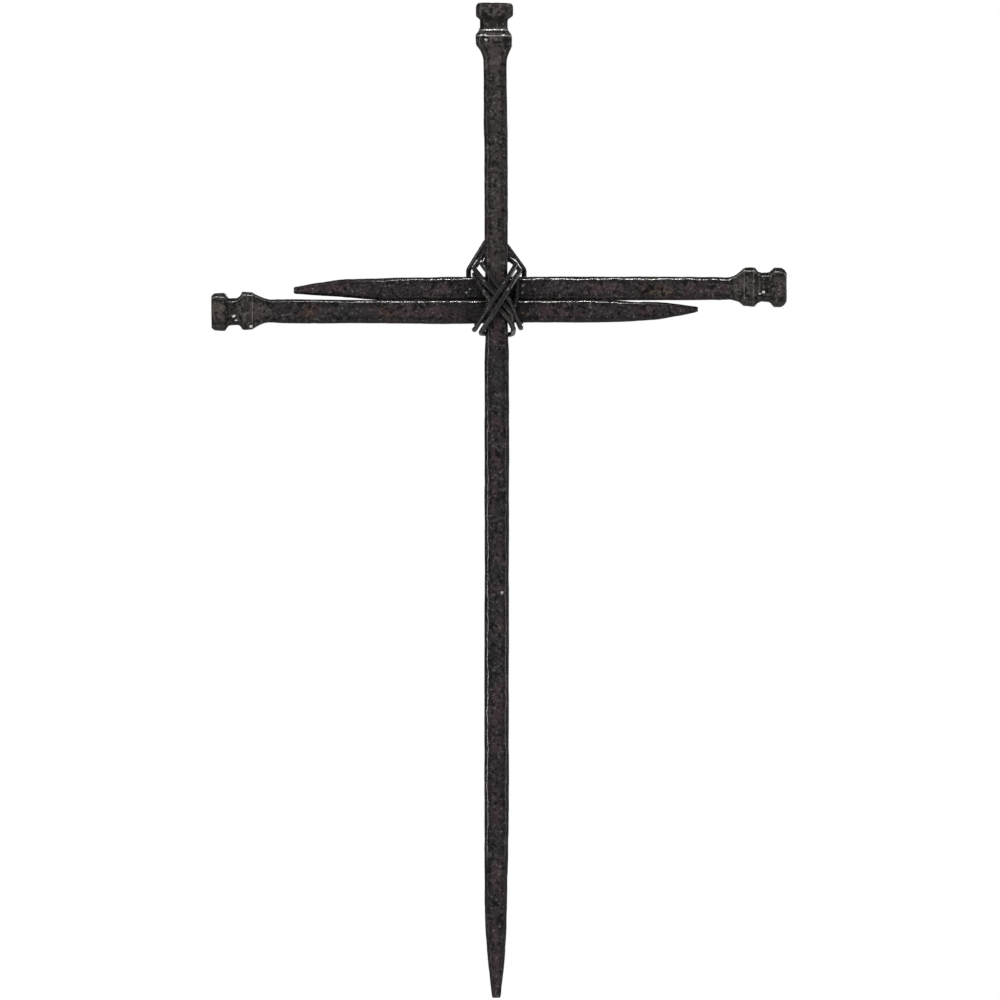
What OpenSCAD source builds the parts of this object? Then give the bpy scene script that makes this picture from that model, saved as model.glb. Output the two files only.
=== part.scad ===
// Wall cross of three forged nails, bound at the crossing with iron wire.
// Millimetres, +Z up, the front faces -Y. The origin is the bearing point of
// the hanging loop: the underside of its top, behind the upright nail.

/* [Nails] */
// Width of the square shank of every nail
shank_w = 7; // [5.8:0.1:8.4]
// Width of the worn bevel along each shank edge
edge_bevel = 1; // [0.6:0.1:1.4]
// Overall length of the upright nail
upright_len = 305; // [250:1:370]
// Overall length of the upper cross nail, whose head is at the right
upper_len = 151.5; // [140:0.5:190]
// Overall length of the lower cross nail, whose head is at the left
lower_len = 149.5; // [140:0.5:190]
// Height of the upright nail's top above the crossing
upright_rise = 90.9; // [70:0.1:115]
// Reach of the upper cross nail's head from the upright's middle
upper_reach = 89.2; // [72:0.1:105]
// Reach of the lower cross nail's head from the upright's middle
lower_reach = 87.5; // [72:0.1:105]
// Clearance kept between each cross nail's point and the head beside it
point_gap = 3; // [1:0.5:6]
// Length of the drawn-out point
point_len = 33; // [24:1:42]
// Width of the blunt end of the point
tip_w = 1.5; // [1:0.1:2.5]

/* [Heads] */
// Width of the square cap
cap_w = 11.3; // [9.6:0.1:13.6]
// Height of the cap
cap_h = 4.2; // [3.4:0.1:5.2]
// Width of the neck between the cap and the collar
neck_w = 8.3; // [7.4:0.1:9.4]
// Height of the neck
neck_h = 3.2; // [2.4:0.1:4.2]
// Width of the square collar under the neck
collar_w = 10.9; // [9.6:0.1:13.1]
// Height of the collar
collar_h = 3.3; // [2.6:0.1:4.2]
// Length of the fillet from the collar into the shank
fillet_len = 4.6; // [3.4:0.1:5.6]
// Height of the short slopes above and below the neck
slope_h = 1; // [0.6:0.1:1.4]
// How far each head sits to one side of its shank
head_shift = 0.5; // [0:0.1:0.8]
// Size of the upper cross nail's head against the others
upper_head_size = 1.05; // [0.95:0.01:1.1]

/* [Binding wire] */
// Diameter of the wire
wire_d = 1.6; // [1.3:0.05:1.9]
// Clearance between the wire and what it lies on
wire_gap = 0.06; // [0.04:0.01:0.1]
// Height of the hanging loop above the cross nails
loop_rise = 11.4; // [9.5:0.1:15]

/* [Hidden] */

// Nails: the upright lies in front of the two cross nails, back against front,
// and the cross nails lie one on the other
half_shank = shank_w / 2;
head_len = cap_h + 2 * slope_h + neck_h + collar_h + fillet_len;
upper_head_len = head_len * upper_head_size;
// A point that would reach the other nail's head pushes that head outwards
upper_head_x = max(upper_reach, lower_len - lower_reach + upper_head_len + point_gap);
lower_head_x = max(lower_reach, upper_len - upper_reach + head_len + point_gap);
bars_top = shank_w;          // both cross nails together are two shanks high
fillet_steps = 4;
fillet_curve = 1.7;
point_steps = 9;
point_curve = 1.7;
cap_edge = 0.7;              // worn rounding round the cap's end
iron = [0.20, 0.18, 0.18];
wire_black = [0.16, 0.15, 0.15];

// Wire: depths of its centre line, front to back
wire_r = wire_d / 2;
layer = wire_d + wire_gap;
front_low = -(shank_w + wire_r + wire_gap);    // on the upright's face
front_high = front_low - layer;                // crossing over the first strands
bar_front = -(wire_r + wire_gap);              // in front of the cross nails
behind_post = wire_r + wire_gap;               // behind the upright, clear of the bars
behind_inner = behind_post + 1.1 * wire_d + wire_gap;
behind_outer = behind_inner + layer;
bar_back = shank_w + wire_r + wire_gap;        // behind the cross nails
bar_back_high = bar_back + layer;
bar_edge = bars_top + wire_r + wire_gap;       // over and under the cross nails
post_side = half_shank + wire_r + wire_gap;    // beside the upright
post_turn = half_shank + 0.45 * wire_r;        // where a strand bends off its face
wire_bend = 1.1 * wire_d;                      // radius of an ordinary bend
wire_sides = 10;
arc_step = 18;                                 // degrees of bend between two rings
leg_share = 0.49;                              // most of a leg that a bend may use

// Heights at which the strands cross the upright's two edges. The first three
// run down to the right and the last two run up to the right over them.
rise_left = [1.65, -1.1, -3.1];
fall_right = [-4.2, -6.2, -7.9];
down_left = [for (k = rise_left) bars_top + k * wire_d];
down_right = [for (k = fall_right) bars_top + k * wire_d];
up_left = [-bars_top + 1.7 * wire_d, -bars_top - 0.75 * wire_d];
up_right = [bars_top - 0.3 * wire_d, bars_top - 2.75 * wire_d];

// Where the wire turns at the sides of the upright
tuck_x = half_shank + 1.8 * wire_d;
corner_x = half_shank + 2 * wire_d;
right_end_x = half_shank + 2.5 * wire_d;
inner_end_x = right_end_x - 1.6 * wire_d;
loop_x = half_shank + 3.15 * wire_d;
lower_turn_z = -(bars_top + 2.05 * wire_d);
loop_z = bars_top + loop_rise;
inner_loop_z = loop_z - 0.1 * wire_d;

hang_point = [0, behind_outer, loop_z - wire_r];

// A height on the straight line between a strand's two edge heights
function on_strand(left_z, right_z, x) =
    left_z + (right_z - left_z) * (x + half_shank) / shank_w;

function face_point(left_z, right_z, x, y) = [x, y, on_strand(left_z, right_z, x)];

// The wire's route, relative to the crossing, in the order it was wound
wire_route = [
    // cut end tucked in beside the upright, then up and over the cross nails
    [half_shank + 1.2 * wire_d, bar_front, -0.3 * shank_w],
    [tuck_x - 0.1 * wire_d, bar_front, 0.1 * shank_w],
    [tuck_x, bar_front, bar_edge],
    [tuck_x, bar_back, bar_edge],
    // down behind to the lower left, and under
    [-corner_x, bar_back, -bar_edge - 0.35 * wire_d],
    [-corner_x, bar_front - 0.3 * wire_d, -bar_edge - 0.85 * wire_d],
    // first strand up to the right, over the three others
    face_point(up_left[0], up_right[0], -post_turn, front_low),
    face_point(up_left[0], up_right[0], -half_shank + 0.6 * wire_d, front_high),
    face_point(up_left[0], up_right[0], half_shank - 0.75 * wire_d, front_high),
    face_point(up_left[0], up_right[0], post_turn, front_low),
    [half_shank + 1.6 * wire_d, -0.4 * shank_w, bars_top + 2.4 * wire_d],
    // behind the upright, above the cross nails
    [half_shank + 0.45 * wire_d, behind_post, bars_top + 3.4 * wire_d],
    [-post_side, behind_post, bars_top + 3 * wire_d],
    // first strand down to the right, and under
    face_point(down_left[0], down_right[0], -post_side, front_low),
    face_point(down_left[0], down_right[0], post_turn, front_low),
    [right_end_x, bar_front - 0.2 * wire_d, -bar_edge - 0.5 * wire_d],
    [right_end_x, bar_back, -bar_edge],
    // up behind, over the strand already there, and over the top
    [right_end_x, bar_back, -0.7 * shank_w],
    [0.27 * shank_w, bar_back_high, -0.02 * shank_w],
    [-0.27 * shank_w, bar_back_high, 0.3 * shank_w],
    [-corner_x, bar_back, bar_edge],
    [-corner_x, bar_front, bar_edge],
    // third strand down to the right
    face_point(down_left[2], down_right[2], -post_turn, front_low),
    face_point(down_left[2], down_right[2], post_turn, front_low),
    [half_shank + 1.1 * wire_d, -0.6 * shank_w, lower_turn_z + 0.85 * wire_d],
    // behind the upright, below the cross nails
    [half_shank + 0.95 * wire_d, behind_post, lower_turn_z - 0.25 * wire_d],
    [-post_side - 0.15 * wire_d, behind_post, lower_turn_z],
    // second strand up to the right, over the others
    face_point(up_left[1], up_right[1], -half_shank - 0.72 * wire_d, front_low),
    face_point(up_left[1], up_right[1], -0.7 * wire_d, front_high),
    face_point(up_left[1], up_right[1], half_shank + 0.3 * wire_r, front_high),
    [half_shank + 2.35 * wire_d, -0.3 * shank_w, bars_top + 1.2 * wire_d],
    // inner loop behind the upright
    [half_shank + wire_d, behind_inner, bars_top + 3.2 * wire_d],
    [0.45 * wire_d, behind_inner, inner_loop_z],
    [-0.55 * wire_d, behind_inner, inner_loop_z],
    [-half_shank - 0.9 * wire_d, behind_inner, bars_top + 3.45 * wire_d],
    [-half_shank - 2.1 * wire_d, -0.35 * shank_w, bars_top + 1.65 * wire_d],
    // second strand down to the right, and under
    face_point(down_left[1], down_right[1], -post_turn, front_low),
    face_point(down_left[1], down_right[1], half_shank + 0.9 * wire_r, front_low),
    [inner_end_x, bar_front - 0.2 * wire_d, -bar_edge - 0.1 * wire_d],
    [inner_end_x, bar_back, -bar_edge],
    // up behind to the left
    [inner_end_x - 0.3 * wire_d, bar_back, -0.83 * shank_w],
    [-0.12 * shank_w, bar_back_high, -0.28 * shank_w],
    [-0.6 * shank_w, bar_back_high, 0.13 * shank_w],
    // hanging loop, which leans forward from the back of the cross nails
    [-loop_x, bar_back, 0.62 * shank_w],
    [-loop_x, bar_back, bar_edge - 0.1 * wire_d],
    [-loop_x, bar_back - 0.75 * wire_d, bars_top + 1.45 * wire_d],
    [-1.85 * wire_d, behind_outer, loop_z],
    [1.2 * wire_d, behind_outer, loop_z],
    [loop_x, bar_back - 0.75 * wire_d, bars_top + 1.5 * wire_d],
    [loop_x, bar_back, bar_edge - 0.1 * wire_d],
    // cut end laid against the back
    [loop_x, bar_back, 0.1 * shank_w],
    [loop_x - 0.7 * wire_d, bar_back, -0.35 * shank_w],
];

function unit(v) = v / norm(v);

// Points of the bend at corner b of the route a, b, c
function bend_points(a, b, c) =
    let (
        to_a = unit(a - b),
        to_c = unit(c - b),
        turn = 180 - acos(to_a * to_c),
        cut = min(wire_bend * tan(turn / 2), leg_share * norm(a - b), leg_share * norm(c - b)),
        bend_r = cut / tan(turn / 2),
        centre = b + unit(to_a + to_c) * bend_r / cos(turn / 2),
        start = b + to_a * cut - centre,
        steps = max(2, ceil(turn / arc_step))
    )
    [for (i = [0:steps]) let (angle = turn * i / steps)
        centre + start * cos(angle) - to_a * bend_r * sin(angle)];

function rounded_route(points) = concat(
    [points[0]],
    [for (i = [1:len(points) - 2]) each bend_points(points[i - 1], points[i], points[i + 1])],
    [points[len(points) - 1]]
);

// Direction of travel at each point of a path
function headings(path) =
    let (last = len(path) - 1)
    [for (i = [0:last]) unit(path[min(i + 1, last)] - path[max(i - 1, 0)])];

// A side direction at each point, carried along the path without twist
function side_directions(heading, first) =
    let (last = len(heading) - 1)
    [for (
        i = 0, side = unit(first - (first * heading[0]) * heading[0]);
        i <= last;
        i = i + 1,
        side = unit(side - (side * heading[min(i, last)]) * heading[min(i, last)])
    ) side];

function tube_rings(path, radius, sides) =
    let (heading = headings(path), side = side_directions(heading, [1, 0, 0]))
    [for (i = [0:len(path) - 1])
        [for (k = [0:sides - 1])
            let (angle = 360 * k / sides)
            path[i] + radius * (side[i] * cos(angle) + cross(heading[i], side[i]) * sin(angle))]];

// A closed solid through rings of points that turn clockwise seen from the last one
module skin(rings) {
    count = len(rings[0]);
    last = len(rings) - 1;
    polyhedron(
        points = [for (ring = rings) each ring],
        faces = concat(
            [[for (k = [0:count - 1]) k]],
            [for (i = [0:last - 1], k = [0:count - 1])
                let (a = i * count + k, b = i * count + (k + 1) % count)
                each [[a, a + count, b], [b, a + count, b + count]]],
            [[for (k = [count - 1:-1:0]) last * count + k]]
        )
    );
}

// Square with bevelled corners, drawn at height z
function bevelled_square(half, bevel, shift, z) =
    let (inner = half - bevel)
    [for (corner = [0:3])
        let (c = cos(90 * corner), s = sin(90 * corner))
        each [for (p = [[half, inner], [inner, half]])
            [shift + c * p.x - s * p.y, s * p.x + c * p.y, z]]];

function fillet_half(share, from_half, to_half) =
    to_half + (from_half - to_half) * pow(1 - share, fillet_curve);

function point_half(share) =
    tip_w / 2 + (half_shank - tip_w / 2) * (1 - pow(share, point_curve));

// One nail along -Z with the end of its cap at z = 0. Each station of the list
// is a depth below the cap's end, a half width and a share of the head's shift.
module nail(length, shift, head_size = 1) {
    cap = head_size * cap_w / 2;
    neck = head_size * neck_w / 2;
    collar = head_size * collar_w / 2;
    neck_top = cap_h + slope_h;
    collar_top = neck_top + neck_h + slope_h;
    fillet_top = collar_top + collar_h;
    point_top = length - point_len;
    stations = concat(
        [[0, cap - cap_edge, 1], [cap_edge, cap, 1], [cap_h, cap, 1],
         [neck_top, neck, 1], [neck_top + neck_h, neck, 1],
         [collar_top, collar, 1], [fillet_top, collar, 1]],
        [for (i = [1:fillet_steps]) let (share = i / fillet_steps)
            [fillet_top + share * fillet_len, fillet_half(share, collar, half_shank), 1 - share]],
        [for (i = [0:point_steps]) let (share = i / point_steps)
            [point_top + share * point_len, point_half(share), 0]]
    );
    skin([for (s = stations)
        bevelled_square(s[1], edge_bevel * min(1, s[1] / half_shank), s[2] * shift, -s[0])]);
}

module upright_nail() {
    color(iron) translate([0, -half_shank, upright_rise] - hang_point)
        nail(upright_len, -head_shift);
}

module upper_cross_nail() {
    color(iron) translate([upper_head_x, half_shank, half_shank] - hang_point)
        rotate([0, 90, 0]) nail(upper_len, -head_shift / 2, upper_head_size);
}

module lower_cross_nail() {
    color(iron) translate([-lower_head_x, half_shank, -half_shank] - hang_point)
        rotate([0, -90, 0]) nail(lower_len, -head_shift / 2);
}

module binding_wire() {
    color(wire_black) translate(-hang_point)
        skin(tube_rings(rounded_route(wire_route), wire_r, wire_sides));
}

upright_nail();
upper_cross_nail();
lower_cross_nail();
binding_wire();
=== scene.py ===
import math
import bmesh
import bpy
from mathutils import Matrix, Vector


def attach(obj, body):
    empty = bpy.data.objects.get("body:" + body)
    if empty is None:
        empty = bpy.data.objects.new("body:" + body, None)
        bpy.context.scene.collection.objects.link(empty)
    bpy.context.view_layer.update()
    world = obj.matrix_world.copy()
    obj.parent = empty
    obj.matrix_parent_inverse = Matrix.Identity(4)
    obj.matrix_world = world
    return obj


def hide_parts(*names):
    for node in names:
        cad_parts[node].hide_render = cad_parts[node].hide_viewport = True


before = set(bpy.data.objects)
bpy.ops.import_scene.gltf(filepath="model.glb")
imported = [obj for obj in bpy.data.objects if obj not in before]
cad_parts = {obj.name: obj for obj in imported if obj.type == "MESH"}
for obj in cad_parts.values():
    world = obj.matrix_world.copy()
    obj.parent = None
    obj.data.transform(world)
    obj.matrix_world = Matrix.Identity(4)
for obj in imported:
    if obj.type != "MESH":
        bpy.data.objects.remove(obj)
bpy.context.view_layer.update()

# Wall cross of three forged nails bound with wire. Sizes are in millimetres here, and become metres when a
# mesh is made. +Z is up and the front faces -Y. The origin is under the top of the hanging loop.
mm = 0.001
shank = 7.0
wireD = 1.6
wireGap = 0.06
loopRise = 11.4
layer = wireD + wireGap
behindPost = wireD / 2 + wireGap
behindInner = behindPost + 1.1 * wireD + wireGap
behindOuter = behindInner + layer
crossing = Vector((0, -behindOuter, -(shank + loopRise - wireD / 2)))    # middle of the crossing


class Field:
    # wraps a socket, so that node maths can be written as plain Python
    def __init__(self, tree, socket=None):
        self.tree = tree
        self.socket = socket

    def make(self, kind, settings=None, sockets=None, out=0):
        # one node: its settings first, then the values or links of its sockets
        made = self.tree.nodes.new(kind)
        for name, value in (settings or {}).items():
            setattr(made, name, value)
        for name, value in (sockets or {}).items():
            if isinstance(value, Field):
                self.tree.links.new(value.socket, made.inputs[name])
            else:
                made.inputs[name].default_value = value
        return Field(self.tree, made.outputs[out])

    def maths(self, operation, first, second):
        return self.make("ShaderNodeMath", {"operation": operation}, {0: first, 1: second})

    def __add__(self, other):
        return self.maths("ADD", self, other)

    def __radd__(self, other):
        return self.maths("ADD", other, self)

    def __sub__(self, other):
        return self.maths("SUBTRACT", self, other)

    def __rsub__(self, other):
        return self.maths("SUBTRACT", other, self)

    def __mul__(self, other):
        return self.maths("MULTIPLY", self, other)

    def __rmul__(self, other):
        return self.maths("MULTIPLY", other, self)

    def __truediv__(self, other):
        return self.maths("DIVIDE", self, other)

    def __rtruediv__(self, other):
        return self.maths("DIVIDE", other, self)


def between(start, low, high):
    # 0 below low, 1 above high, smooth in the middle
    return start.make("ShaderNodeMapRange", {"interpolation_type": "SMOOTHSTEP"},
                      {"Value": start, "From Min": low, "From Max": high})


def mixed(factor, first, second):
    return factor.make("ShaderNodeMix", {"data_type": "RGBA"}, {0: factor, 6: first, 7: second}, out=2)


def grain(place, size, detail=2.0, rough=0.5, shift=0.0):
    # fractal noise with features of about this size in millimetres
    return place.make("ShaderNodeTexNoise", {"noise_dimensions": "4D"},
                      {"Vector": place, "W": shift, "Scale": 1.0 / (size * mm), "Detail": detail,
                       "Roughness": rough})


# the camera comes first, so that the framing is settled before anything is made
camera = {
    "middle": Vector((1.13, -2.5, -61.4)),     # what it looks at, from the crossing
    "across": 306.6,                           # width of the view there
    "distance": 4000.0,
}
cameraData = bpy.data.cameras.new("camera")
cameraData.sensor_width = 36.0
cameraData.lens = 36.0 * camera["distance"] / camera["across"]
cameraData.clip_end = 20.0
cameraObject = bpy.data.objects.new("camera", cameraData)
cameraObject.location = (crossing + camera["middle"] - Vector((0, camera["distance"], 0))) * mm
cameraObject.rotation_euler = (math.radians(90), 0, 0)
bpy.context.collection.objects.link(cameraObject)
bpy.context.scene.camera = cameraObject
print("camera placed")


# blackened iron: colours, then the sizes of its patches and grains, then its roughness
ironFinish = {
    "sootAndShade": (0.0250, 0.0188, 0.0204),     # the blackening that covers most of it
    "greenBlack": (0.0165, 0.0172, 0.0172),
    "brown": (0.046, 0.027, 0.031),       # old rust under the blackening
    "headGrey": (0.075, 0.062, 0.054),    # the heads are rubbed greyer
    "neckShade": (0.010, 0.0075, 0.006),     # painted shade in the neck's hollow
    "paintedShade": (0.005, 0.0045, 0.0045),       # painted shade beside the ridges and on the bevels, and the colour of the painted shade spots
    "stain": (0.090, 0.074, 0.048),       # a little yellow rust
    "rust": (0.054, 0.029, 0.020),
    "ashy": (0.16, 0.15, 0.148),          # high grains where the wax is rubbed off
    # painted glints: bright flecks scattered over the iron
    "glintFleck": (0.36, 0.345, 0.335),
    "pit": (0.002, 0.002, 0.002),
    "bareAndHighlight": (0.70, 0.68, 0.65),           # steel worn bright on the ridges, also a painted highlight where the light catches them
    # painted glint: white spots where light catches the metal
    "glintWhite": (1.0, 0.98, 0.95),
    "patch": 10.5,                        # how far apart the brown and black patches lie
    "speck": 0.95,                        # and the grains
    "blotch": 3.6,                        # how broken up the rust is
    "ragged": 1.0,                        # how far a mark's edge strays
    "raggedScale": 1200.0,
    # where in its noise each patch starts to show, and where it is full
    "brownRange": (0.45, 0.58),
    "greenRange": (0.50, 0.56),
    "grainRange": (0.51, 0.62),
    "pitRange": (0.485, 0.42),
    "glintFleckRange": (0.612, 0.65),
    "blotchRange": (0.42, 0.56),
    "rubbedRange": (0.32, 0.46),
    "rubbedDust": (0.28, 0.42),
    "ridgeRange": (0.30, 0.90),
    "stainRange": (0.46, 0.56),
    # how much of what lies below each of these hides
    "cover": {"brown": 0.85, "warm": 0.8, "rust": 0.85, "headGrey": 0.7, "neckShade": 0.85, "paintedShade": 0.85,
              "grain": 0.24, "headGrain": 0.12, "glintFleck": 0.26, "pit": 0.9, "bareAndHighlight": 0.85},
    "roughLow": 0.34,
    "roughHigh": 0.70,
    "gloss": 0.22,                        # dull scale reflects little
    "wax": 0.06,                          # a trace of wax over it
    "waxRough": 0.25,
    "relief": 0.30,                       # depth of the finest grain
}


def ironMaterial(name, finish, seed, marks):
    material = bpy.data.materials.new(name)
    material.use_nodes = True
    tree = material.node_tree
    shader = tree.nodes["Principled BSDF"]
    start = Field(tree)
    place = start.make("ShaderNodeTexCoord", out=3)
    ridge, head, neckShade, paintedShade = [start.make("ShaderNodeAttribute", {"attribute_name": label}, out=2)
                                for label in ("ridge", "head", "neckShade", "paintedShade")]

    cloud = grain(place, finish["patch"], 3.0, 0.6, seed)
    cloudTwo = grain(place, finish["patch"] * 1.6, 2.0, 0.5, seed + 7.3)
    speck = grain(place, finish["speck"], 2.0, 0.6, seed + 2.1)
    dust = grain(place, finish["speck"] * 0.5, 1.0, 0.5, seed + 4.4)
    scale = grain(place, finish["speck"] * 2.6, 2.0, 0.6, seed + 6.4)
    brownMask = between(cloud, *finish["brownRange"]) * (1 - 0.7 * head)
    greenMask = between(cloudTwo, *finish["greenRange"])
    grainMask = between(0.65 * speck + 0.35 * dust, *finish["grainRange"])
    pitMask = between(0.6 * speck + 0.4 * scale, *finish["pitRange"])
    # painted glints: where the bright flecks show
    glintFleckMask = between(0.5 * speck + 0.5 * dust, *finish["glintFleckRange"])
    blotch = between(grain(place, finish["blotch"], 3.0, 0.65, seed + 11.0), *finish["blotchRange"])

    # a mark's outline is made ragged by moving each place a little, half of it to either side
    ragged = finish["ragged"] * mm
    shake = start.make("ShaderNodeTexNoise", {"noise_dimensions": "4D"},
                       {"Vector": place, "W": seed, "Scale": finish["raggedScale"], "Detail": 1.0}, out=1)
    shaken = start.make("ShaderNodeVectorMath", {"operation": "MULTIPLY_ADD"},
                        {0: shake, 1: (ragged, ragged, ragged), 2: place})

    def near(spot):
        # full in the middle of a mark and fading out at its size, longer along X if asked
        middle = (crossing + Vector(spot["at"])) * mm + Vector((ragged / 2, ragged / 2, ragged / 2))
        away = start.make("ShaderNodeVectorMath", {"operation": "SUBTRACT"}, {0: shaken, 1: middle})
        away = start.make("ShaderNodeVectorMath", {"operation": "MULTIPLY"},
                          {0: away, 1: (1 / spot.get("long", 1), 1, 1)})
        apart = start.make("ShaderNodeVectorMath", {"operation": "LENGTH"}, {0: away}, out=1)
        return between(1 - apart / (spot["size"] * mm), 0.0, spot.get("soft", 0.3))

    def covered(below, mask, name):
        # one of the finish's colours over what is there, as far as the mask says
        return mixed(mask, below, (*finish[name], 1))

    cover = finish["cover"]
    colour = covered((*finish["sootAndShade"], 1), greenMask, "greenBlack")
    colour = covered(colour, brownMask * cover["brown"], "brown")
    for spot in marks["warm"]:
        colour = covered(colour, near(spot) * blotch * cover["warm"], "brown")
    for spot in marks["rust"]:
        colour = covered(colour, near(spot) * blotch * cover["rust"], "rust")
    colour = covered(colour, head * cover["headGrey"], "headGrey")
    # painted shade darkens the neck's hollow
    colour = covered(colour, neckShade * cover["neckShade"], "neckShade")
    # painted shade beside the ridges and on the bevels
    colour = covered(colour, paintedShade * cover["paintedShade"], "paintedShade")
    colour = covered(colour, grainMask * (cover["grain"] + cover["headGrain"] * head), "ashy")
    # painted glints: bright flecks
    colour = covered(colour, glintFleckMask * cover["glintFleck"], "glintFleck")
    colour = covered(colour, pitMask * cover["pit"], "pit")

    # bright steel on the ridges: partly wear, partly a painted highlight weighted to where the light
    # catches
    rubbedAndSheen = between(grain(place, 3.0, 3.0, 0.7, seed + 9.0), *finish["rubbedRange"])
    worn = between(ridge, *finish["ridgeRange"]) * rubbedAndSheen * between(dust, *finish["rubbedDust"])
    # painted shade: dark spots under a cap, in the head's grooves and round the crossing
    for spot in marks["sootAndShade"]:
        colour = covered(colour, near(spot) * spot.get("share", 0.9), "paintedShade")
    for spot in marks["stains"]:
        colour = covered(colour, near(spot) * between(speck, *finish["stainRange"]), "stain")
    colour = covered(colour, worn * cover["bareAndHighlight"], "bareAndHighlight")
    # painted glints: small white spots
    for spot in marks["paintedGlints"]:
        colour = covered(colour, near(spot) * spot.get("share", 1.0), "glintWhite")
    tree.links.new(colour.socket, shader.inputs["Base Color"])

    tone = start.make("ShaderNodeMapRange", {},
                      {"Value": speck + 0.3 * (cloud - 0.5), "From Min": 0.36, "From Max": 0.64,
                       "To Min": finish["roughLow"], "To Max": finish["roughHigh"]})
    roughness = tone * (1 - 0.5 * worn)
    tree.links.new(roughness.socket, shader.inputs["Roughness"])
    tree.links.new((worn * 0.95).socket, shader.inputs["Metallic"])

    lumps = grain(place, 2.4, 2.0, 0.5, seed + 5.5)
    height = 0.8 * speck + 0.35 * dust + 0.7 * lumps - 0.35 * pitMask
    bump = start.make("ShaderNodeBump", {}, {"Strength": 0.9, "Distance": finish["relief"] * mm,
                                               "Height": height})
    tree.links.new(bump.socket, shader.inputs["Normal"])
    shader.inputs["Specular IOR Level"].default_value = finish["gloss"]
    shader.inputs["Coat Weight"].default_value = finish["wax"]
    shader.inputs["Coat Roughness"].default_value = finish["waxRough"]
    return material


wireFinish = {
    "black": (0.019, 0.0175, 0.0175),
    "brown": (0.034, 0.026, 0.022),
    # painted sheen: light streaks on the wire
    "rubbedAndSheen": (0.36, 0.35, 0.34),
    "patch": 4.0,
    "speck": 0.7,
    "brownRange": (0.50, 0.60),
    "sheenSpeck": (0.54, 0.64),    # painted sheen, bright where both its speckles and its patches allow
    "sheenPatch": (0.44, 0.54),
    "cover": {"brown": 0.6, "rubbedAndSheen": 0.5},
    "gloss": 0.45,
    "oil": 0.15,
    "oilRough": 0.10,
    "relief": 0.12,
}


def wireMaterial(name, finish):
    material = bpy.data.materials.new(name)
    material.use_nodes = True
    tree = material.node_tree
    shader = tree.nodes["Principled BSDF"]
    start = Field(tree)
    place = start.make("ShaderNodeTexCoord", out=3)
    cloud = grain(place, finish["patch"], 3.0, 0.6, 3.1)
    speck = grain(place, finish["speck"], 2.0, 0.6, 1.7)
    brownMask = between(cloud, *finish["brownRange"])
    # painted sheen on the wire
    sheenMask = between(speck, *finish["sheenSpeck"]) * between(cloud, *finish["sheenPatch"])
    cover = finish["cover"]
    colour = mixed(brownMask * cover["brown"], (*finish["black"], 1), (*finish["brown"], 1))
    colour = mixed(sheenMask * cover["rubbedAndSheen"], colour, (*finish["rubbedAndSheen"], 1))
    tree.links.new(colour.socket, shader.inputs["Base Color"])
    roughness = 0.08 + 0.34 * speck
    tree.links.new(roughness.socket, shader.inputs["Roughness"])
    tree.links.new((sheenMask * 0.8).socket, shader.inputs["Metallic"])
    bump = start.make("ShaderNodeBump", {}, {"Strength": 0.4, "Distance": finish["relief"] * mm,
                                             "Height": speck})
    tree.links.new(bump.socket, shader.inputs["Normal"])
    shader.inputs["Specular IOR Level"].default_value = finish["gloss"]
    shader.inputs["Coat Weight"].default_value = finish["oil"]
    shader.inputs["Coat Roughness"].default_value = finish["oilRough"]
    return material


# what the three nails share
nailShape = {
    "filletCurve": 1.7,
    "pointCurve": 1.7,
    "pointLength": 33.0,
    "tipWidth": 1.5,
    "tipRound": 0.6,         # length over which the blunt end is worn round, and by how much
    "tipWorn": 0.25,
    "bevel": 0.92,
    "bevelWander": 0.22,
    "headBevel": 1.25,       # the head's bevels against the shank's
    "widestBevel": 0.42,     # a bevel stops at this share of half the width
    "step": 0.62,            # distance between two rings
    "fineStep": 0.26,        # over the head and at the tip
    "soften": 0.22,          # corners of the outline are averaged over this much each way
    "sway": 0.05,            # slow bend of the whole nail
    "edgeRound": 0.035,      # how far the ridges are worn back
    "rimReach": 0.3,         # half the breadth of a painted highlight rim
    "driftCurve": 1.7,       # how late a point starts to drift off line
    "endRings": (0.8, 0.55, 0.3, 0.1),    # smaller rings that close each end
}

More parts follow.
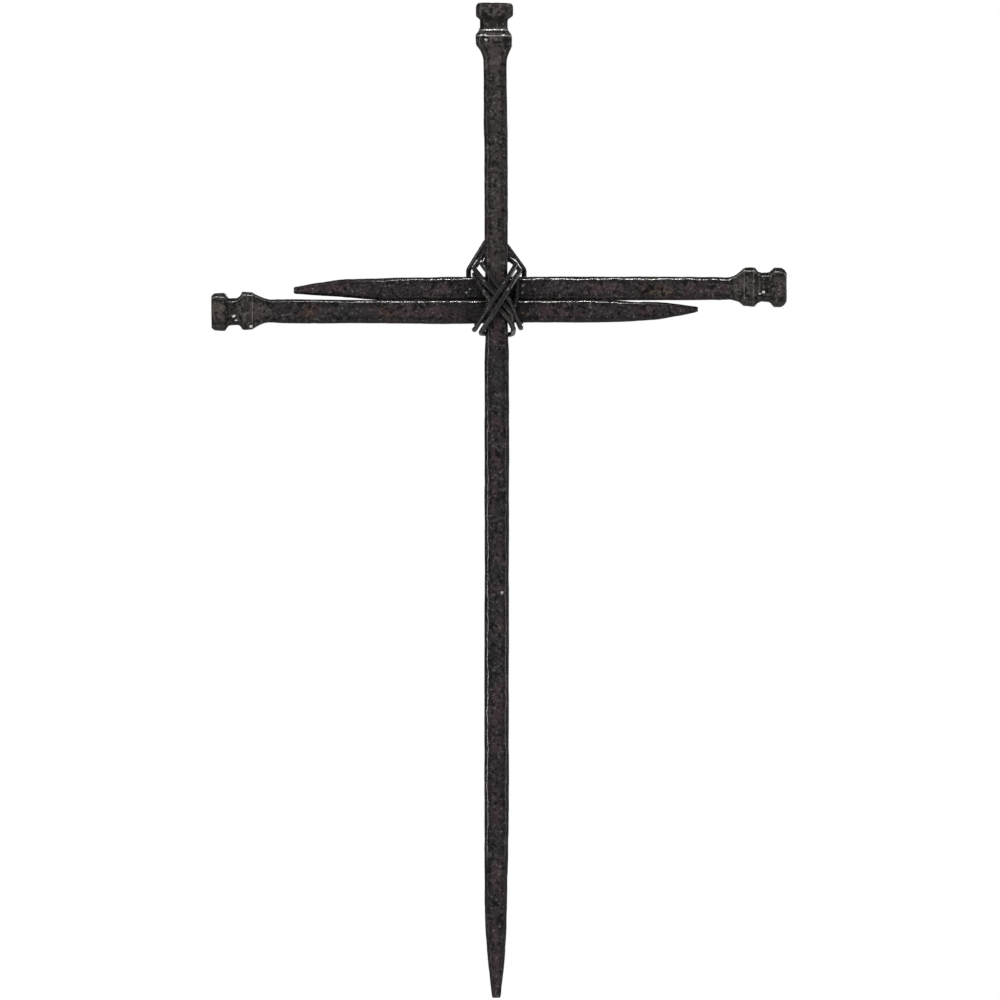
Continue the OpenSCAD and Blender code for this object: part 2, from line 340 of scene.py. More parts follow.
# Each nail is measured along itself from its cap's end. Across it, u runs beside the wall and v towards it.
# Its faces are numbered round from the one that looks along +u, so 1 faces the wall and 3 is the front.
uprightNail = {
    "length": 305.0, "headAt": 90.9,    # where the cap's end is, from the crossing
    "capHalf": 5.62, "capLow": 3.9, "neckHalf": 4.12, "neckTop": 5.0, "neckLow": 8.2,
    "collarHalf": 5.4, "collarTop": 9.7, "collarLow": 12.9, "filletEnd": 17.6,
    # half the extra width along it, then how far its middle strays to the side
    "swell": [(0, 0), (2, 0.14), (12, 0.24), (20, 0.15), (30, 0.23), (62, 0.13), (76, 0.14), (84, 0),
              (100, 0), (110, 0.38), (152, 0.34), (183, 0.28), (215, 0.3), (244, 0.39), (260, 0.24),
              (275, 0.03), (287, 0.3), (294, 0.45), (305, 0.6)],
    "line": [(0, -0.52), (3.4, -0.56), (5, -0.78), (9.4, -0.84), (12, -0.74), (14.5, -0.36), (20, -0.36),
             (45, -0.1), (66, -0.09), (106, 0.1), (130, 0.16), (180, 0.15), (214, 0.09), (244, 0.12),
             (260, -0.04), (273, -0.16), (282, -0.06), (305, 0)],
    "tipDrift": 0.0, "driftLength": 20.0, "capRound": 0.75, "bevels": (1, 1, 1, 1),
    "seed": 1.0, "seated": {1: (76, 106)},    # a face stays flat where another nail lies on it
    # how bright the worn ridge at each end of a face is, weighted as a painted highlight to where the light
    # catches it, how that changes along the nail, where the head's grey ends, and the painted highlight
    # rims
    "wearAndHighlight": {(3, -1): 0.8, (3, 1): 0.6, "rest": 0.4},
    "wearHighlightAlong": [(70, 0.6), (105, 0.76), (151, 0.9), (205, 1.1), (225, 1.1), (240, 1.0), (258, 0.9),
                  (267, 0.4), (274, 0.4), (290, 0.6)],
    "greyAlong": [(17.6, 1), (23, 0.36), (40, 0.4), (55, 0.46), (72, 0.4), (100, 0)],
    "rims": [(8.3, 1.0), (10.2, 1.0)],
}
upperNail = {
    "length": 151.5, "headAt": 89.2,
    "capHalf": 5.9, "capLow": 3.9, "neckHalf": 4.34, "neckTop": 5.4, "neckLow": 8.5,
    "collarHalf": 5.84, "collarTop": 9.8, "collarLow": 13.2, "filletEnd": 18.0,
    "swell": [(0, 0), (1.5, 0.2), (5.5, 0.3), (8, 0.16), (10, 0.25), (13, 0.16), (15, 0), (21, 0.06),
              (30, 0.1), (42, 0.2), (52, 0.17), (78, 0.12), (103, 0.16), (112, 0.02), (124, -0.02),
              (130, 0.08), (137, 0.26), (151.5, 0.32)],
    "line": [(0, 0.3), (9, 0.44), (12.5, 0.52), (14.5, 0.34), (16.5, 0.1), (19, -0.04), (24, 0.08),
             (30, 0.06), (42, 0.14), (62, 0.06), (78, 0.055), (103, 0.1), (112, -0.05), (124, -0.16),
             (130, -0.08), (136, 0.1), (151.5, 0.06)],
    "tipDrift": -0.6, "driftLength": 17.0, "capRound": 1.5, "bevels": (1, 1, 1, 0.85),
    "seed": 4.0, "seated": {2: (20, 128), 3: (76, 103)},
    "wearAndHighlight": {(3, 1): 1.0, (3, -1): 0.3, (0, -1): 0.3, "rest": 0.5},
    "wearHighlightAlong": [(14, 0.7), (19, 1), (80, 1), (105, 0.88), (124, 0.72), (131, 0.48), (136, 0.3)],
    "greyAlong": [(15.5, 1), (18.5, 0)], "rims": [(8.6, 0.55), (10.4, 0.55), (13.2, 0.68)],
}
lowerNail = {
    "length": 149.5, "headAt": -87.5,
    "capHalf": 5.63, "capLow": 4.2, "neckHalf": 4.08, "neckTop": 5.2, "neckLow": 8.6,
    "collarHalf": 5.56, "collarTop": 9.4, "collarLow": 12.7, "filletEnd": 18.4,
    "swell": [(0, 0.1), (4.3, 0.33), (6, 0.2), (8.3, 0.2), (9.5, 0.42), (12, 0.37), (14, 0.18),
              (16.6, 0.13), (24, 0.27), (45, 0.09), (64, 0.25), (78, 0.25), (96, 0.07), (113, 0.02),
              (131, 0.14), (133, 0.3), (137, 0.45), (143, 0.27), (149.5, 0.1)],
    "line": [(0, -0.2), (5, -0.14), (7.5, -0.08), (9.5, 0.18), (12, 0.17), (16, 0.25), (18.5, 0.08),
             (22, -0.04), (45, -0.04), (58, -0.14), (70, -0.2), (90, -0.02), (113, 0.07), (130, -0.03),
             (135, 0.12), (141, 0.22), (149.5, 0.13)],
    "tipDrift": 0.55, "driftLength": 17.0, "capRound": 0.9, "bevels": (1, 1, 1, 0.66),
    "seed": 8.0, "seated": {0: (20, 128), 3: (76, 103)},
    "wearAndHighlight": {(3, 1): 1.0, (3, -1): 0.3, (0, -1): 0.3, "rest": 0.5},
    "wearHighlightAlong": [(14, 0.7), (19, 0.62), (24, 0.72), (36, 0.76), (52, 0.9), (95, 1), (125, 1),
                  (135, 0.6), (142, 0.45)],
    "greyAlong": [(15.5, 1), (19.5, 0)], "rims": [(8.7, 0.55), (9.8, 0.6), (12.7, 0.68)],
}


def along(row, at):
    # a smooth value from a row of (place, value) pairs
    if at <= row[0][0]:
        return row[0][1]
    for (a, valueA), (b, valueB) in zip(row, row[1:]):
        if at <= b:
            share = (at - a) / (b - a)
            share = share * share * (3 - 2 * share)
            return valueA + (valueB - valueA) * share
    return row[-1][1]


def headOutline(nail):
    # half the depth of the cap, neck and collar, at distances from the cap's end
    cap, neck, collar = nail["capHalf"], nail["neckHalf"], nail["collarHalf"]
    worn = nail["capRound"]
    return [
        (0.0, cap - worn), (0.4 * worn, cap - 0.38 * worn), (1.2 * worn, cap),
        (nail["capLow"], cap - 0.05),
        (nail["neckTop"], neck), (nail["neckLow"] - 0.5, neck - 0.05),
        (nail["neckLow"] - 0.1, neck + 0.3), (nail["neckLow"] + 0.3, neck + 0.25),
        (nail["collarTop"], collar - 0.08), (nail["collarTop"] + 0.8, collar),
        (nail["collarLow"], collar - 0.1),
    ]


def nailHalf(nail, at):
    # half the nail's depth at this distance from the cap's end
    body = shank / 2
    outline = headOutline(nail)
    if at <= nail["collarLow"]:
        for (a, halfA), (b, halfB) in zip(outline, outline[1:]):
            if at <= b:
                return halfA + (halfB - halfA) * (at - a) / (b - a)
    if at <= nail["filletEnd"]:
        share = (at - nail["collarLow"]) / (nail["filletEnd"] - nail["collarLow"])
        return body + (outline[-1][1] - body) * (1 - share) ** nailShape["filletCurve"]
    pointTop = nail["length"] - nailShape["pointLength"]
    if at <= pointTop:
        return body
    share = min(1.0, (at - pointTop) / nailShape["pointLength"])
    tip = nailShape["tipWidth"] / 2
    half = tip + (body - tip) * (1 - share ** nailShape["pointCurve"])
    left = nail["length"] - at
    return half - nailShape["tipWorn"] * max(0.0, 1 - left / nailShape["tipRound"])


def partWay(value, low, high):
    # 0 at low, 1 at high
    return max(0.0, min(1.0, (value - low) / (high - low)))


def wander(at, seed):
    # a slow hand-forged wobble between -1 and 1
    return (math.sin(at * 0.31 + seed * 1.7) + 0.7 * math.sin(at * 0.83 + seed * 2.9)
            + 0.5 * math.sin(at * 1.9 + seed * 0.6)) / 2.2


facePlaces = [-1.0, -0.92, -0.78, -0.6, -0.4, -0.2, 0.0, 0.2, 0.4, 0.6, 0.78, 0.92, 1.0]
bevelPlaces = [0.22, 0.5, 0.78]
edgeShadeDepths = {0.6: 0.5, 0.78: 1.0, 0.92: 0.45}    # painted shade beside the ridges, and on the bevels
bevelShade = 0.85


def nailRing(half, stretch, bevels, lineU, wearAndHighlight):
    # points round one section: four faces, and a bevel after each, with how worn each point is as a ridge,
    # a wear that also paints a highlight, how much painted shade lies in its lee, and which face it lies on
    ring = []
    outwards = [(1, 0), (0, 1), (-1, 0), (0, -1)]
    for side in range(4):
        outU, outV = outwards[side]
        alongU, alongV = -outV, outU
        before = bevels[side - 1]
        after = bevels[side]
        for share in facePlaces:
            atEdge = abs(share) == 1.0
            reach = (half - before) if share < 0 else (half - after)
            back = nailShape["edgeRound"] if atEdge else 0.0
            ridge = wearAndHighlight.get((side, round(share)), wearAndHighlight["rest"]) if atEdge else 0.0
            paintedShade = edgeShadeDepths.get(abs(share), 0.0)
            ring.append((((half - back) * outU + share * reach * alongU) * stretch + lineU,
                         (half - back) * outV + share * reach * alongV, ridge, paintedShade, side))
        nextU, nextV = outwards[(side + 1) % 4]
        for share in bevelPlaces:
            u = (half - after * share) * outU + (half - after * (1 - share)) * nextU
            v = (half - after * share) * outV + (half - after * (1 - share)) * nextV
            ring.append((u * stretch + lineU, v, 0.0, bevelShade, side))
    return ring


def ringPlaces(nail):
    # closer together over the head and at the tip
    places, at = [0.0], 0.0
    while at < nail["length"] - 0.12:
        fine = at < nail["filletEnd"] + 1 or nail["length"] - at < 3
        at = min(nail["length"], at + (nailShape["fineStep"] if fine else nailShape["step"]))
        places.append(at)
    return places


def sectionSizes(nail, at):
    # half the depth here, and the four bevels
    length, soften = nail["length"], nailShape["soften"]
    if at in (0.0, length):
        half = nailHalf(nail, at)
    else:
        spread = [max(0.0, min(length, at + d)) for d in (-soften, 0.0, soften)]
        half = sum(nailHalf(nail, place) for place in spread) / 3
    bevels = []
    for side in range(4):
        size = nailShape["bevel"] + nailShape["bevelWander"] * wander(at, nail["seed"] + side * 5)
        share = nailShape["headBevel"] if at < nail["collarLow"] else nail["bevels"][side]
        bevels.append(min(size, nailShape["widestBevel"] * half) * share)
    return half, bevels


def nailMesh(name, nail, place):
    points, faces = [], []
    values = {"ridge": [], "paintedShade": [], "head": [], "hold": [], "neckShade": []}

    def add(point, given):
        points.append(point)
        for label, row in values.items():
            row.append(given.get(label, 0.0))

    ringsAt = ringPlaces(nail)
    for at in ringsAt:
        half, bevels = sectionSizes(nail, at)
        left = nail["length"] - at
        drift = nail["tipDrift"] * max(0.0, 1 - left / nail["driftLength"]) ** nailShape["driftCurve"]
        lineU = along(nail["line"], at) + drift + nailShape["sway"] * wander(at * 0.4, nail["seed"] + 3)
        wide = 1 + along(nail["swell"], at) / half
        # the rims are painted highlight lines at the head's ledges
        rim = max([worn * max(0.0, 1 - abs(at - r) / nailShape["rimReach"]) for r, worn in nail["rims"]])
        # painted shade: how far a ring lies in the neck's hollow
        neckShade = (partWay(at, nail["capLow"] - 0.2, nail["neckTop"])
                  * partWay(at, nail["neckLow"] - 0.2, nail["neckLow"] - 0.7))
        for u, v, ridge, paintedShade, side in nailRing(half, wide, bevels, lineU, nail["wearAndHighlight"]):
            low, high = nail["seated"].get(side, (0, 0))
            add(place(at, u, v) * mm, {
                "ridge": max(ridge * along(nail["wearHighlightAlong"], at), rim), "paintedShade": paintedShade, "neckShade": neckShade,
                "head": along(nail["greyAlong"], at), "hold": 1.0 if low < at < high else 0.0})
    rings = len(ringsAt)
    count = len(points) // rings
    for i in range(rings - 1):
        for k in range(count):
            a, b = i * count + k, i * count + (k + 1) % count
            faces.append((a, b, b + count, a + count))
    # each end is closed with smaller rings drawn in to its middle
    for start in (0, (rings - 1) * count):
        middle = sum((points[start + k] for k in range(count)), Vector()) / count
        grey = {"head": values["head"][start]}
        edge = start
        for share in nailShape["endRings"]:
            first = len(points)
            for k in range(count):
                add(middle + (points[start + k] - middle) * share, grey)
            for k in range(count):
                faces.append((edge + k, edge + (k + 1) % count, first + (k + 1) % count, first + k))
            edge = first
        add(middle, grey)
        for k in range(count):
            faces.append((edge + k, edge + (k + 1) % count, len(points) - 1))
    mesh = bpy.data.meshes.new(name)
    mesh.from_pydata(points, [], faces)
    for label, row in values.items():
        mesh.attributes.new(label, "FLOAT", "POINT").data.foreach_set("value", row)
    work = bmesh.new()
    work.from_mesh(mesh)
    bmesh.ops.recalc_face_normals(work, faces=work.faces)
    work.to_mesh(mesh)
    work.free()
    mesh.shade_smooth()
    return mesh


def groupInputs(name, wanted):
    # a geometry tree with these inputs, its start and its end
    tree = bpy.data.node_groups.new(name, "GeometryNodeTree")
    tree.interface.new_socket("Geometry", in_out="OUTPUT", socket_type="NodeSocketGeometry")
    tree.interface.new_socket("Geometry", in_out="INPUT", socket_type="NodeSocketGeometry")
    for label, kind in wanted:
        tree.interface.new_socket(label, in_out="INPUT", socket_type=kind)
    start = tree.nodes.new("NodeGroupInput")
    end = tree.nodes.new("NodeGroupOutput")
    return tree, {s.name: Field(tree, s) for s in start.outputs if s.name}, end


def closeTree(tree, geometry, material, end):
    whole = geometry.make("GeometryNodeRealizeInstances", {}, {"Geometry": geometry})
    dressed = geometry.make("GeometryNodeSetMaterial", {}, {"Geometry": whole, "Material": material})
    tree.links.new(dressed.socket, end.inputs["Geometry"])


forgeMarks = {
    "Flat Size": 16 * mm, "Flat Depth": 0.13 * mm, "flatRange": (0.3, 0.7),
    "Dent Size": 4.2 * mm, "Dent Depth": 0.09 * mm, "dentRange": (0.42, 0.68),
    "Pit Size": 1.5 * mm, "Pit Depth": 0.07 * mm, "pitRange": (0.56, 0.70),
    "spared": 0.85,          # how much of it a seated face is spared
}


def forgeMarksTree():
    # hammer flats, dents and scale pits, all cut inwards so that the stock keeps its outer size
    tree, given, end = groupInputs("forgeMarks", [
        ("Flat Size", "NodeSocketFloat"), ("Flat Depth", "NodeSocketFloat"),
        ("Dent Size", "NodeSocketFloat"), ("Dent Depth", "NodeSocketFloat"),
        ("Pit Size", "NodeSocketFloat"), ("Pit Depth", "NodeSocketFloat"),
        ("Seed", "NodeSocketFloat"), ("Material", "NodeSocketMaterial")])
    start = Field(tree)
    position = start.make("GeometryNodeInputPosition")
    normal = start.make("GeometryNodeInputNormal")

    def noise(size, shift, detail):
        return start.make("ShaderNodeTexNoise", {"noise_dimensions": "4D"},
                          {"Vector": position, "W": given["Seed"] + shift, "Scale": 1 / given[size],
                           "Detail": detail, "Roughness": 0.5})

    flats = between(noise("Flat Size", 0.0, 0.0), *forgeMarks["flatRange"])
    dents = between(noise("Dent Size", 3.7, 1.0), *forgeMarks["dentRange"])
    pits = between(noise("Pit Size", 8.2, 2.0), *forgeMarks["pitRange"])
    hold = start.make("GeometryNodeInputNamedAttribute", {"data_type": "FLOAT"}, {"Name": "hold"})
    depth = flats * given["Flat Depth"] + dents * given["Dent Depth"] + pits * given["Pit Depth"]
    depth = depth * (1 - forgeMarks["spared"] * hold)
    inward = start.make("ShaderNodeVectorMath", {"operation": "SCALE"}, {0: normal, "Scale": -1 * depth})
    moved = start.make("GeometryNodeSetPosition", {}, {"Geometry": given["Geometry"], "Offset": inward})
    smooth = start.make("GeometryNodeSetShadeSmooth", {}, {"Geometry": moved})
    closeTree(tree, smooth, given["Material"], end)
    return tree


def setInputs(modifier, tree, values):
    # inputs are set by identifier, before the object is first evaluated
    for item in tree.interface.items_tree:
        if item.item_type == "SOCKET" and item.in_out == "INPUT" and item.name in values:
            modifier[item.identifier] = values[item.name]


def baked(source, name):
    # the evaluated result as a plain mesh object at the origin
    bpy.context.collection.objects.link(source)
    depsgraph = bpy.context.evaluated_depsgraph_get()
    mesh = bpy.data.meshes.new_from_object(source.evaluated_get(depsgraph), preserve_all_data_layers=True,
                                           depsgraph=depsgraph)
    mesh.name = name
    bpy.data.objects.remove(source)
    piece = bpy.data.objects.new(name, mesh)
    bpy.context.collection.objects.link(piece)
    return piece


forgeTree = forgeMarksTree()


def finishedNail(name, nail, place, node, material):
    source = bpy.data.objects.new(name + "Stock", nailMesh(name + "Stock", nail, place))
    modifier = source.modifiers.new("forgeMarks", "NODES")
    modifier.node_group = forgeTree
    setInputs(modifier, forgeTree, {**forgeMarks, "Seed": nail["seed"], "Material": material})
    piece = baked(source, name)
    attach(piece, "root")
    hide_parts(node)
    print(name, "forged:", len(piece.data.polygons), "faces")


# where a point of each nail lies: at along it, u across it and v across the wall
def onUpright(at, u, v):
    return crossing + Vector((u, -shank / 2 + v, uprightNail["headAt"] - at))


def onUpper(at, u, v):
    return crossing + Vector((upperNail["headAt"] - at, shank / 2 + v, shank / 2 + u))


def onLower(at, u, v):
    return crossing + Vector((lowerNail["headAt"] + at, shank / 2 + v, -shank / 2 + u))


# Single marks, placed from the crossing: painted glints, spots of painted shade, warm brown, rust and
# yellow stains.
# A share is how strong one is, long stretches it along X, and soft is how much of it fades out.
uprightMarks = {
    # painted glints on the shank and in the grooves of the head
    "paintedGlints": [
        {"at": (1.8, -7.0, -89.8), "size": 0.52, "share": 0.4},
        {"at": (0.95, -7.0, -191.9), "size": 0.5, "share": 0.7},
        {"at": (2.2, -7.0, -191.5), "size": 0.35, "share": 0.7},
        {"at": (-4.0, -8.6, 80.9), "size": 0.38, "long": 4, "share": 0.8},
        {"at": (2.3, -8.6, 80.9), "size": 0.34, "long": 2.6, "share": 0.65},
        {"at": (-3.5, -8.8, 79.5), "size": 0.32, "long": 2, "share": 0.6},
    ],
    # painted shadow under the cap's face, and painted shade in the grooves of the head
    "sootAndShade": [
        {"at": (-0.6, -7.8, 81.9), "size": 0.75, "long": 6},
        {"at": (-3.2, -8.8, 80.2), "size": 0.5, "long": 3.5},
        {"at": (0.4, -8.8, 78.7), "size": 0.6, "long": 3},
        {"at": (3.0, -8.8, 79.2), "size": 1.2},
        {"at": (-3.6, -9.0, 87.2), "size": 0.9},
        {"at": (-1.6, -9.0, 85.6), "size": 0.5, "long": 5},
    ],
    "warm": [{"at": (0, -4.0, -206.0), "size": 26.0, "soft": 0.5}],
    "rust": [],
    "stains": [{"at": (-2.5, -7.0, 0.5), "size": 2.2}],
}
upperMarks = {
    # painted glints on the neck and beside the wire
    "paintedGlints": [
        {"at": (80.7, -0.7, 1.95), "size": 0.5, "share": 0.8},
        {"at": (81.9, -0.7, 2.35), "size": 0.54, "share": 0.75},
        {"at": (86.6, -1.9, 3.0), "size": 0.5, "share": 0.3},
        {"at": (-9.2, 0.0, 2.2), "size": 0.45, "share": 0.25},
        {"at": (-8.2, 0.0, 3.3), "size": 0.45, "share": 0.2},
        {"at": (8.2, 0.0, 4.4), "size": 0.5, "share": 0.2},
        {"at": (8.1, 0.0, 2.2), "size": 0.5, "share": 0.2},
    ],
    # painted shade round the crossing, beside the wire
    "sootAndShade": [{"at": (0, 0, 3.5), "size": 13.0, "share": 0.62}],
    "warm": [],
    "rust": [
        {"at": (45.9, 0, 3.6), "size": 5.4, "soft": 0.7},
        {"at": (51.5, 0, 2.0), "size": 4.6, "soft": 0.7},
    ],
    "stains": [{"at": (50.2, 0, 2.2), "size": 1.2, "long": 3}],
}
lowerMarks = {
    # painted glints on the neck and collar
    "paintedGlints": [
        {"at": (-80.5, -0.6, -5.0), "size": 0.5, "long": 1.4, "share": 0.75},
        {"at": (-79.9, -0.6, -6.5), "size": 0.62, "share": 0.9},
        {"at": (-75.2, -1.6, -8.1), "size": 0.55, "share": 0.9},
        {"at": (-81.2, -0.6, -7.2), "size": 0.4, "share": 0.6},
    ],
    # two darker spots on the collar's face, and painted shade round the crossing
    "sootAndShade": [
        {"at": (-76.6, -2.0, -2.0), "size": 1.5, "share": 0.55},
        {"at": (-75.8, -2.0, -5.4), "size": 1.2, "share": 0.5},
        {"at": (0, 0, -3.5), "size": 14.0, "share": 0.62},
    ],
    "warm": [],
    "rust": [
        {"at": (-56.5, 0, -4.4), "size": 4.8, "soft": 0.8},
        {"at": (-33.5, 0, -4.0), "size": 4.8, "soft": 0.8},
    ],
    "stains": [{"at": (9.0, 0.0, -3.6), "size": 1.7}],
}

finishedNail("uprightNail", uprightNail, onUpright, "upright_nail",
             ironMaterial("blackenedIronUpright", ironFinish, 0.0, uprightMarks))
finishedNail("upperCrossNail", upperNail, onUpper, "upper_cross_nail",
             ironMaterial("blackenedIronUpper", ironFinish, 20.0, upperMarks))
finishedNail("lowerCrossNail", lowerNail, onLower, "lower_cross_nail",
             ironMaterial("blackenedIronLower", ironFinish, 40.0, lowerMarks))


# binding wire: the same route as the solid one, relative to the crossing
halfShank = shank / 2
wireR = wireD / 2
barsTop = shank
frontLow = -(shank + wireR + wireGap)
frontHigh = frontLow - layer
barFront = -(wireR + wireGap)
barBack = shank + wireR + wireGap
barBackHigh = barBack + layer
barEdge = barsTop + wireR + wireGap
postSide = halfShank + wireR + wireGap
postTurn = halfShank + 0.45 * wireR
downLeft = [barsTop + k * wireD for k in (1.65, -1.1, -3.1)]
downRight = [barsTop + k * wireD for k in (-4.2, -6.2, -7.9)]
upLeft = [-barsTop + 1.7 * wireD, -barsTop - 0.75 * wireD]
upRight = [barsTop - 0.3 * wireD, barsTop - 2.75 * wireD]
tuckX = halfShank + 1.8 * wireD
cornerX = halfShank + 2 * wireD
rightEndX = halfShank + 2.5 * wireD
innerEndX = rightEndX - 1.6 * wireD
loopX = halfShank + 3.15 * wireD
lowerTurnZ = -(barsTop + 2.05 * wireD)
loopZ = barsTop + loopRise
innerLoopZ = loopZ - 0.1 * wireD


def facePoint(leftZ, rightZ, x, y):
    # on the straight line between the heights at which a strand crosses the upright's two edges
    return (x, y, leftZ + (rightZ - leftZ) * (x + halfShank) / shank)


wireRoute = [
    # cut end tucked in beside the upright, then up and over the cross nails
    (halfShank + 1.2 * wireD, barFront, -0.3 * shank),
    (tuckX - 0.1 * wireD, barFront, 0.1 * shank),
    (tuckX, barFront, barEdge),
    (tuckX, barBack, barEdge),
    # down behind to the lower left, and under
    (-cornerX, barBack, -barEdge - 0.35 * wireD),
    (-cornerX, barFront - 0.3 * wireD, -barEdge - 0.85 * wireD),
    # first strand up to the right, over the three others
    facePoint(upLeft[0], upRight[0], -postTurn, frontLow),
    facePoint(upLeft[0], upRight[0], -halfShank + 0.6 * wireD, frontHigh),
    facePoint(upLeft[0], upRight[0], halfShank - 0.75 * wireD, frontHigh),
    facePoint(upLeft[0], upRight[0], postTurn, frontLow),
    (halfShank + 1.6 * wireD, -0.4 * shank, barsTop + 2.4 * wireD),
    # behind the upright, above the cross nails
    (halfShank + 0.45 * wireD, behindPost, barsTop + 3.4 * wireD),
    (-postSide, behindPost, barsTop + 3 * wireD),
    # first strand down to the right, and under
    facePoint(downLeft[0], downRight[0], -postSide, frontLow),
    facePoint(downLeft[0], downRight[0], postTurn, frontLow),
    (rightEndX, barFront - 0.2 * wireD, -barEdge - 0.5 * wireD),
    (rightEndX, barBack, -barEdge),
    # up behind, over the strand already there, and over the top
    (rightEndX, barBack, -0.7 * shank),
    (0.27 * shank, barBackHigh, -0.02 * shank),
    (-0.27 * shank, barBackHigh, 0.3 * shank),
    (-cornerX, barBack, barEdge),
    (-cornerX, barFront, barEdge),
    # third strand down to the right
    facePoint(downLeft[2], downRight[2], -postTurn, frontLow),
    facePoint(downLeft[2], downRight[2], postTurn, frontLow),
    (halfShank + 1.1 * wireD, -0.6 * shank, lowerTurnZ + 0.85 * wireD),
    # behind the upright, below the cross nails
    (halfShank + 0.95 * wireD, behindPost, lowerTurnZ - 0.25 * wireD),
    (-postSide - 0.15 * wireD, behindPost, lowerTurnZ),
    # second strand up to the right, over the others
    facePoint(upLeft[1], upRight[1], -halfShank - 0.72 * wireD, frontLow),
    facePoint(upLeft[1], upRight[1], -0.7 * wireD, frontHigh),
    facePoint(upLeft[1], upRight[1], halfShank + 0.3 * wireR, frontHigh),
    (halfShank + 2.35 * wireD, -0.3 * shank, barsTop + 1.2 * wireD),
    # inner loop behind the upright
    (halfShank + wireD, behindInner, barsTop + 3.2 * wireD),
    (0.45 * wireD, behindInner, innerLoopZ),
    (-0.55 * wireD, behindInner, innerLoopZ),
    (-halfShank - 0.9 * wireD, behindInner, barsTop + 3.45 * wireD),
    (-halfShank - 2.1 * wireD, -0.35 * shank, barsTop + 1.65 * wireD),
    # second strand down to the right, and under
    facePoint(downLeft[1], downRight[1], -postTurn, frontLow),
    facePoint(downLeft[1], downRight[1], halfShank + 0.9 * wireR, frontLow),
    (innerEndX, barFront - 0.2 * wireD, -barEdge - 0.1 * wireD),
    (innerEndX, barBack, -barEdge),
    # up behind to the left
    (innerEndX - 0.3 * wireD, barBack, -0.83 * shank),
    (-0.12 * shank, barBackHigh, -0.28 * shank),
    (-0.6 * shank, barBackHigh, 0.13 * shank),
    # hanging loop, which leans forward from the back of the cross nails
    (-loopX, barBack, 0.62 * shank),
    (-loopX, barBack, barEdge - 0.1 * wireD),
    (-loopX, barBack - 0.75 * wireD, barsTop + 1.45 * wireD),
    (-1.85 * wireD, behindOuter, loopZ),
    (1.2 * wireD, behindOuter, loopZ),
    (loopX, barBack - 0.75 * wireD, barsTop + 1.5 * wireD),
    (loopX, barBack, barEdge - 0.1 * wireD),
    # cut end laid against the back
    (loopX, barBack, 0.1 * shank),
    (loopX - 0.7 * wireD, barBack, -0.35 * shank),
]

wireShape = {
    "bend": 1.1 * wireD,       # radius of an ordinary bend
    "legShare": 0.49,          # most of a leg that a bend may use
    "arcStep": 9.0,            # degrees between two points of a bend
    "Radius": wireR * mm,
    "Spacing": 0.32 * mm,
    "Sides": 18,
    "Uneven": 0.035,           # most of the radius that it loses, and how fast that comes and goes
    "Uneven Scale": 420.0,
}


def bendPoints(a, b, c):
    toA, toC = (a - b).normalized(), (c - b).normalized()
    turn = math.pi - math.acos(max(-1, min(1, toA.dot(toC))))
    limit = wireShape["legShare"]
    cut = min(wireShape["bend"] * math.tan(turn / 2), limit * (a - b).length, limit * (c - b).length)
    radius = cut / math.tan(turn / 2)
    centre = b + (toA + toC).normalized() * radius / math.cos(turn / 2)
    first = b + toA * cut - centre
    steps = max(2, math.ceil(math.degrees(turn) / wireShape["arcStep"]))
    return [centre + first * math.cos(turn * i / steps) - toA * radius * math.sin(turn * i / steps)
            for i in range(steps + 1)]


def wireSweepTree():
    # a round section carried along the route, a little uneven as hand-pulled wire is
    tree, given, end = groupInputs("wireSweep", [
        ("Radius", "NodeSocketFloat"), ("Spacing", "NodeSocketFloat"), ("Sides", "NodeSocketInt"),
        ("Uneven", "NodeSocketFloat"), ("Uneven Scale", "NodeSocketFloat"), ("Seed", "NodeSocketFloat"),
        ("Material", "NodeSocketMaterial")])
    start = Field(tree)
    position = start.make("GeometryNodeInputPosition")
    even = start.make("GeometryNodeResampleCurve", {"mode": "LENGTH"},
                      {"Curve": given["Geometry"], "Length": given["Spacing"]})
    noise = start.make("ShaderNodeTexNoise", {"noise_dimensions": "4D"},
                       {"Vector": position, "W": given["Seed"], "Scale": given["Uneven Scale"],
                        "Detail": 2.0})
    radius = given["Radius"] * (1 - given["Uneven"] * noise)
    section = start.make("GeometryNodeCurvePrimitiveCircle", {"mode": "RADIUS"},
                         {"Resolution": given["Sides"], "Radius": 1.0})
    swept = start.make("GeometryNodeCurveToMesh", {},
                       {"Curve": even, "Profile Curve": section, "Scale": radius, "Fill Caps": True})
    smooth = start.make("GeometryNodeSetShadeSmooth", {}, {"Geometry": swept})
    closeTree(tree, smooth, given["Material"], end)
    return tree


corners = [Vector(point) for point in wireRoute]
path = [corners[0]]
for a, b, c in zip(corners, corners[1:], corners[2:]):
    path += bendPoints(a, b, c)
path.append(corners[-1])
routeCurve = bpy.data.curves.new("wireRoute", "CURVE")
routeCurve.dimensions = "3D"
spline = routeCurve.splines.new("POLY")
spline.points.add(len(path) - 1)
for point, at in zip(spline.points, path):
    point.co = (*((at + crossing) * mm), 1.0)
wireSource = bpy.data.objects.new("wireRoute", routeCurve)
wireTree = wireSweepTree()
wireModifier = wireSource.modifiers.new("wireSweep", "NODES")
wireModifier.node_group = wireTree
wireMetal = wireMaterial("blackTieWire", wireFinish)
setInputs(wireModifier, wireTree, {**wireShape, "Seed": 2.0, "Material": wireMetal})
wirePiece = baked(wireSource, "bindingWire")
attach(wirePiece, "root")
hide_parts("binding_wire")
print("binding wire swept:", len(wirePiece.data.polygons), "faces")


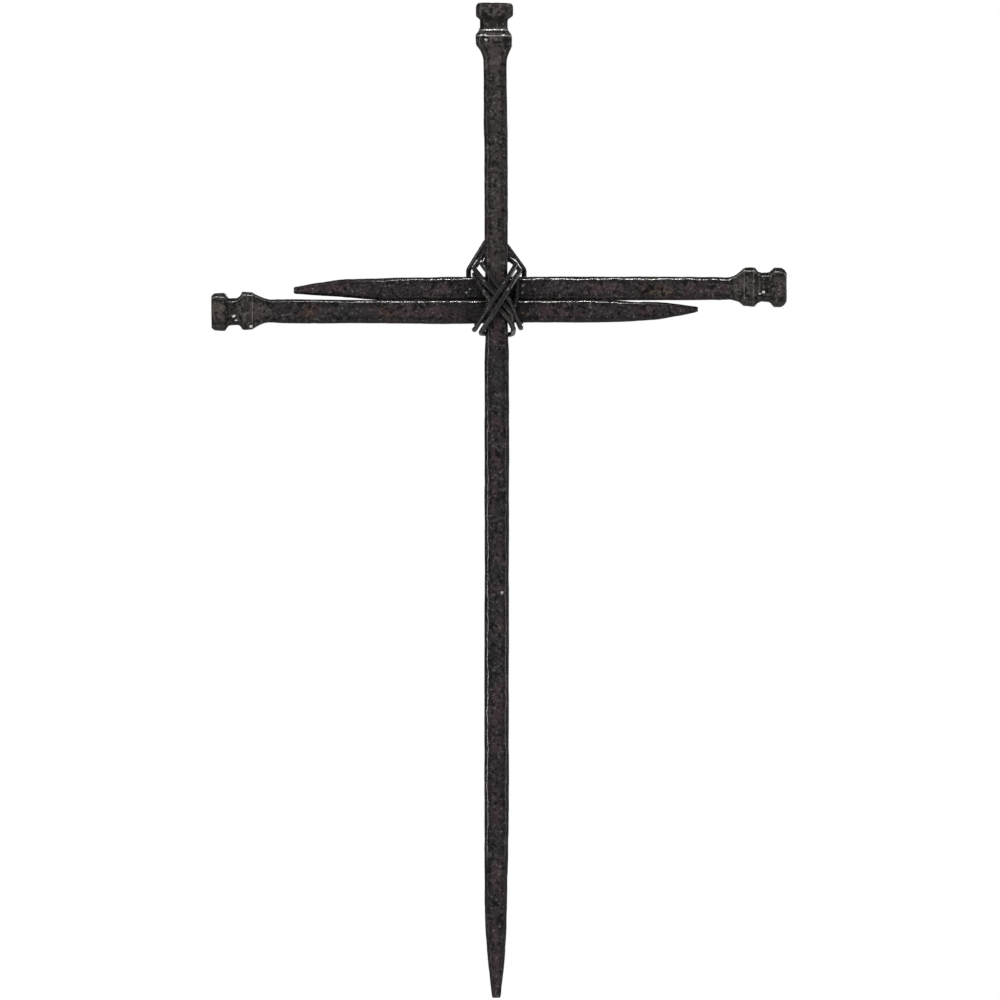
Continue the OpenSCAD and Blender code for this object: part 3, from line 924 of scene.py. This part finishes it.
# floor, light and background, in metres
studio = {
    "floorZ": -0.300, "floorRadius": 0.62,
    "floorColour": (0.86, 0.86, 0.85, 1), "floorRough": 0.7,
    "ambient": 0.13,           # the room's light on the metal
    "aim": Vector((0.0, 0.0, -0.07)),
    "lights": [                # name, from (x, y, z), size across and down, watts
        ("topFront", (-0.12, -0.75, 0.78), (0.9, 0.3), 8.5),
        ("leftFront", (-1.15, -1.05, 0.15), (0.35, 1.1), 4.5),
        ("rightFill", (1.2, -1.2, 0.0), (0.5, 0.9), 1.5),
        ("sideFill", (1.5, 0.6, 0.25), (0.7, 0.9), 6.0),
        ("backFill", (0.1, 1.5, 0.6), (1.0, 1.0), 16.0),
    ],
}

floorMesh = bpy.data.meshes.new("floor")
work = bmesh.new()
bmesh.ops.create_circle(work, cap_ends=True, segments=96, radius=studio["floorRadius"])
work.to_mesh(floorMesh)
work.free()
floorMesh.transform(Matrix.Translation((0, 0, studio["floorZ"])))
floorMaterial = bpy.data.materials.new("paleFloor")
floorMaterial.use_nodes = True
floorShader = floorMaterial.node_tree.nodes["Principled BSDF"]
floorShader.inputs["Base Color"].default_value = studio["floorColour"]
floorShader.inputs["Roughness"].default_value = studio["floorRough"]
floorMesh.materials.append(floorMaterial)
floor = bpy.data.objects.new("floor", floorMesh)
bpy.context.collection.objects.link(floor)

for name, at, size, watts in studio["lights"]:
    lamp = bpy.data.lights.new(name, "AREA")
    lamp.shape = "RECTANGLE"
    lamp.size, lamp.size_y = size
    lamp.energy = watts
    lampObject = bpy.data.objects.new(name, lamp)
    lampObject.location = at
    lampObject.rotation_euler = (studio["aim"] - Vector(at)).to_track_quat("-Z", "Y").to_euler()
    lampObject.visible_camera = False
    bpy.context.collection.objects.link(lampObject)

world = bpy.data.worlds.new("studio")
world.use_nodes = True
bpy.context.scene.world = world
sky = Field(world.node_tree)
backdrop = world.node_tree.nodes["Background"]
seen = sky.make("ShaderNodeLightPath", out=0)
strength = studio["ambient"] + (1 - studio["ambient"]) * seen
backdrop.inputs["Color"].default_value = (1, 1, 1, 1)
world.node_tree.links.new(strength.socket, backdrop.inputs["Strength"])
bpy.context.scene.view_settings.view_transform = "Standard"
print("studio lit")
